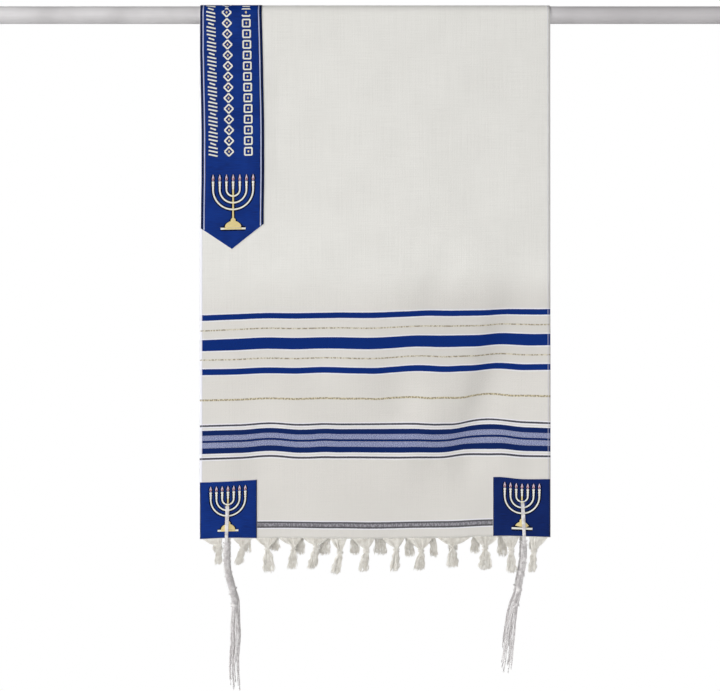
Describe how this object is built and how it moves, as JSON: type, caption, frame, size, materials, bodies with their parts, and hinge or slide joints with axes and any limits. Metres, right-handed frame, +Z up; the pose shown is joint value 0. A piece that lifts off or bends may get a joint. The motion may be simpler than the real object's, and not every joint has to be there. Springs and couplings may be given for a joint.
{
  "type": "prayer shawl (tallit) hung over a garment rod",
  "caption": "Striped ivory prayer shawl with blue neckband, corner patches, knotted fringe and tzitzit, hanging over a plain round garment rod.",
  "frame": {"origin": "on the rod's axis, at the middle of the cloth's width", "axes": "+X along the rod to a front viewer's right, the front panel at -Y, +Z up"},
  "size_m": [1.24, 0.0536, 1.0991],
  "materials": {
    "ivory_weave": "matte plain weave",
    "blue_satin": "woven satin",
    "fringe_yarn": "twisted yarn",
    "white_string": "twisted string",
    "rod_paint": "satin"
  },
  "bodies": {
    "root": {"rod": "rod_paint", "shawl": "ivory_weave", "neckband": "blue_satin", "corner_patch_front_left": "blue_satin", "corner_patch_front_right": "blue_satin", "corner_patch_back_left": "blue_satin", "corner_patch_back_right": "blue_satin", "tzitzit_front_left": "white_string", "tzitzit_front_right": "white_string", "tzitzit_back_left": "white_string", "tzitzit_back_right": "white_string", "tassel_front_01": "fringe_yarn", "tassel_front_02": "fringe_yarn", "tassel_front_03": "fringe_yarn", "tassel_front_04": "fringe_yarn", "tassel_front_05": "fringe_yarn", "tassel_front_06": "fringe_yarn", "tassel_front_07": "fringe_yarn", "tassel_front_08": "fringe_yarn", "tassel_front_09": "fringe_yarn", "tassel_front_10": "fringe_yarn", "tassel_front_11": "fringe_yarn", "tassel_front_12": "fringe_yarn", "tassel_front_13": "fringe_yarn", "tassel_back_01": "fringe_yarn", "tassel_back_02": "fringe_yarn", "tassel_back_03": "fringe_yarn", "tassel_back_04": "fringe_yarn", "tassel_back_05": "fringe_yarn", "tassel_back_06": "fringe_yarn", "tassel_back_07": "fringe_yarn", "tassel_back_08": "fringe_yarn", "tassel_back_09": "fringe_yarn", "tassel_back_10": "fringe_yarn", "tassel_back_11": "fringe_yarn", "tassel_back_12": "fringe_yarn", "tassel_back_13": "fringe_yarn"}
  },
  "joints": []
}
